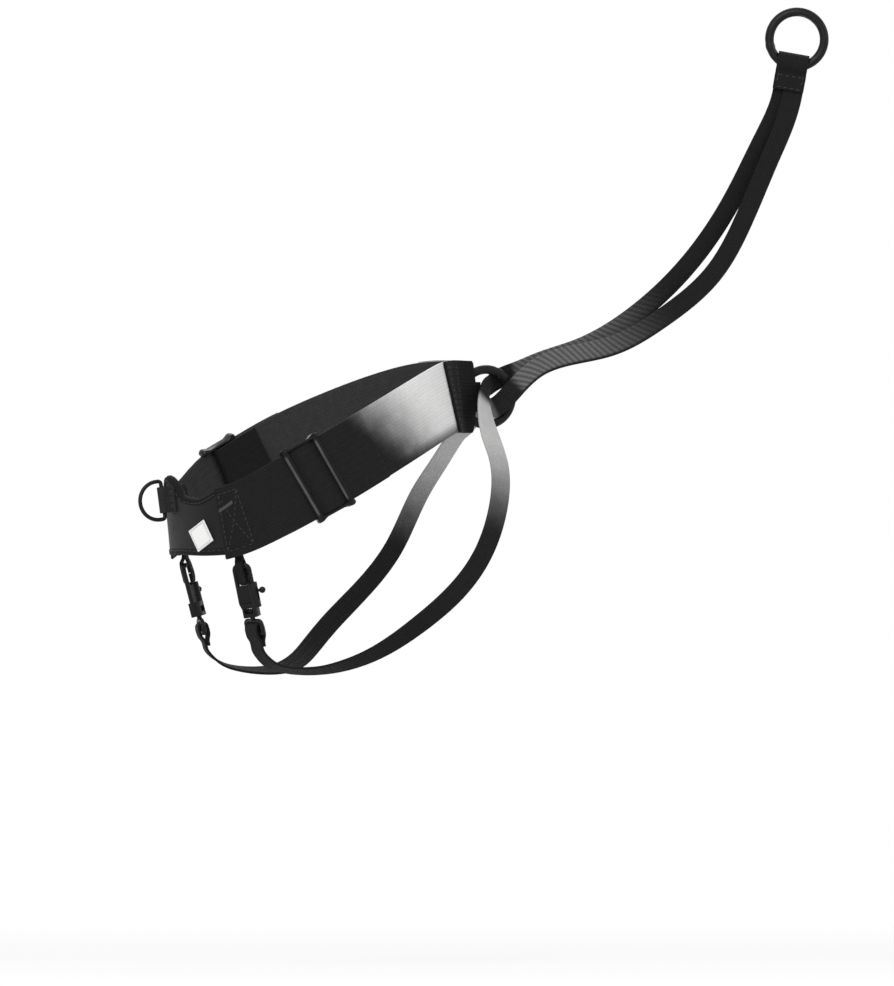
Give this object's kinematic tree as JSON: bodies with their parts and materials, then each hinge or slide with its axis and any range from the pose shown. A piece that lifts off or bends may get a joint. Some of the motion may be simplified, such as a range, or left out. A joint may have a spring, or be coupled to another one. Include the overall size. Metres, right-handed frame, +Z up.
{
  "type": "no pull dog harness",
  "caption": "No-pull dog harness as worn: chest yoke, adjustable shoulder bands and leg straps that run through a withers ring to a lead ring.",
  "frame": {"origin": "centre of the withers ring, which lies on the dog's back between the shoulder blades", "axes": "+X towards the dog's tail, +Y towards its right side, +Z up"},
  "size_m": [0.37, 0.1306, 0.3348],
  "materials": {
    "yoke_panel": "smooth woven",
    "webbing": "ribbed weave",
    "patch": "matte",
    "black_metal": "satin",
    "steel": "bright",
    "black_plastic": "semi gloss"
  },
  "bodies": {
    "harness": {"chest_yoke_shell": "yoke_panel", "chest_yoke_lining": "yoke_panel", "chest_yoke_binding": "webbing", "chest_ring_tab": "webbing", "badge_patch": "patch", "withers_sleeve": "webbing", "left_clip_tab": "webbing", "right_clip_tab": "webbing", "left_lower_band": "webbing", "right_lower_band": "webbing", "left_upper_band": "webbing", "right_upper_band": "webbing", "left_leg_strap": "webbing", "right_leg_strap": "webbing", "left_lead_strand": "webbing", "right_lead_strand": "webbing", "left_snap_eye": "black_metal", "right_snap_eye": "black_metal"},
    "chest_ring": {"chest_ring": "black_metal"},
    "withers_ring": {"withers_ring": "black_metal"},
    "lead_end": {"lead_ring_keeper": "webbing"},
    "lead_ring": {"lead_ring": "black_metal"},
    "left_slider": {"left_slider": "black_plastic"},
    "left_snap": {"left_snap_hook": "black_metal", "left_snap_spring": "steel"},
    "left_bolt": {"left_snap_bolt": "black_metal"},
    "right_slider": {"right_slider": "black_plastic"},
    "right_snap": {"right_snap_hook": "black_metal", "right_snap_spring": "steel"},
    "right_bolt": {"right_snap_bolt": "black_metal"}
  },
  "joints": [
    {"name": "lead_pull", "type": "slide", "parent": "harness", "child": "lead_end", "axis": [0.161, -0.065, 0.9848], "range_m": [0, 0.025], "deforming": ["left_lead_strand", "right_lead_strand", "left_leg_strap", "right_leg_strap"]},
    {"name": "lead_ring_swing", "type": "hinge", "parent": "lead_end", "child": "lead_ring", "pos_m": [0.16643, 0.0008, 0.16776], "axis": [0.9131, -0.3689, -0.1736], "range_deg": [-50, 50]},
    {"name": "withers_ring_turn", "type": "hinge", "parent": "harness", "child": "withers_ring", "pos_m": [0, 0, 0], "axis": [0, 1, 0], "continuous": true},
    {"name": "chest_ring_swing", "type": "hinge", "parent": "harness", "child": "chest_ring", "pos_m": [-0.17361, 0, -0.05147], "axis": [-0.1392, 0, 0.9903], "range_deg": [-80, 80]},
    {"name": "left_slider_adjust", "type": "slide", "parent": "harness", "child": "left_slider", "axis": [0.8813, -0.0297, 0.4717], "range_m": [-0.015, 0.02], "deforming": ["left_lower_band", "left_upper_band"]},
    {"name": "left_snap_swivel", "type": "hinge", "parent": "harness", "child": "left_snap", "pos_m": [-0.14001, -0.03617, -0.10941], "axis": [-0.2396, -0.0699, 0.9684], "range_deg": [-40, 40], "deforming": ["left_clip_tab"]},
    {"name": "left_bolt_slide", "type": "slide", "parent": "left_snap", "child": "left_bolt", "axis": [-0.2396, -0.0699, 0.9684], "range_m": [-0.0036, 0], "stiffness_N_per_m": 60, "springref_m": 0.008, "deforming": ["left_snap_spring"]},
    {"name": "right_slider_adjust", "type": "slide", "parent": "harness", "child": "right_slider", "axis": [0.8813, 0.0297, 0.4717], "range_m": [-0.015, 0.02], "deforming": ["right_lower_band", "right_upper_band"]},
    {"name": "right_snap_swivel", "type": "hinge", "parent": "harness", "child": "right_snap", "pos_m": [-0.14001, 0.03617, -0.10941], "axis": [-0.2396, 0.0699, 0.9684], "range_deg": [-40, 40], "deforming": ["right_clip_tab"]},
    {"name": "right_bolt_slide", "type": "slide", "parent": "right_snap", "child": "right_bolt", "axis": [-0.2396, 0.0699, 0.9684], "range_m": [-0.0036, 0], "stiffness_N_per_m": 60, "springref_m": 0.008, "deforming": ["right_snap_spring"]}
  ]
}
